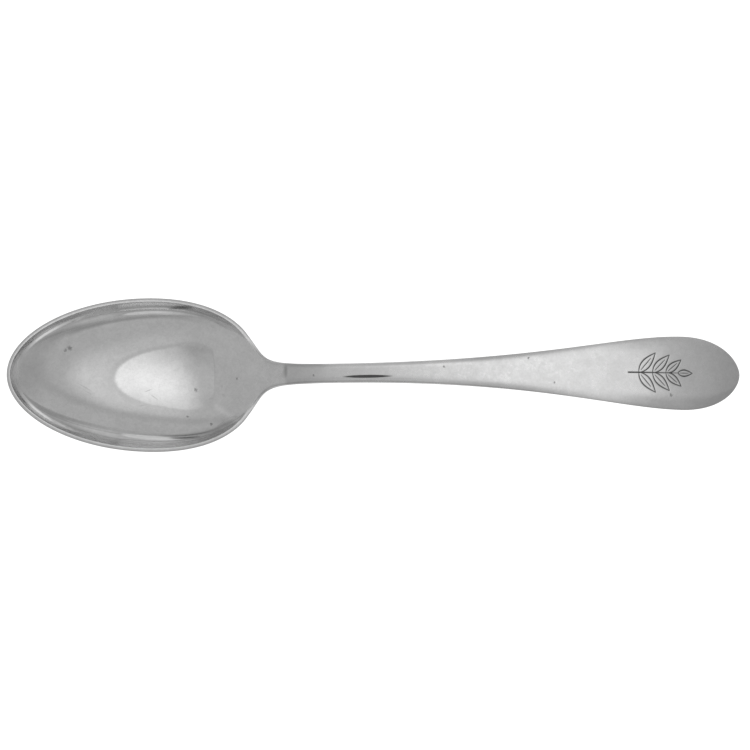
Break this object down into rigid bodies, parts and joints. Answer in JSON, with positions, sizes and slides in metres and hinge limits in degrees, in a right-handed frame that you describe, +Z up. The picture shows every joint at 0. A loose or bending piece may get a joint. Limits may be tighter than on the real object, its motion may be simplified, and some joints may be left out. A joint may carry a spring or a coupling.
{
  "type": "demitasse spoon",
  "caption": "Small silver coffee spoon with an oval bowl, a slim arched stem and a plain spatulate handle end; the handle laps under the bowl and is soldered to it.",
  "frame": {"origin": "on the table top, halfway along the spoon and on its midline", "axes": "+X from the bowl's tip to the handle's end, +Y across the spoon, +Z up out of the bowl"},
  "size_m": [0.105, 0.022, 0.0114],
  "materials": {
    "bowl_silver": "bright polished silver with fine wear",
    "handle_silver": "polished silver worn to a soft satin by handling",
    "solder": "dull silver solder, slightly tarnished"
  },
  "bodies": {
    "root": {"bowl": "bowl_silver", "handle": "handle_silver", "solder_seam": "solder"}
  },
  "joints": []
}
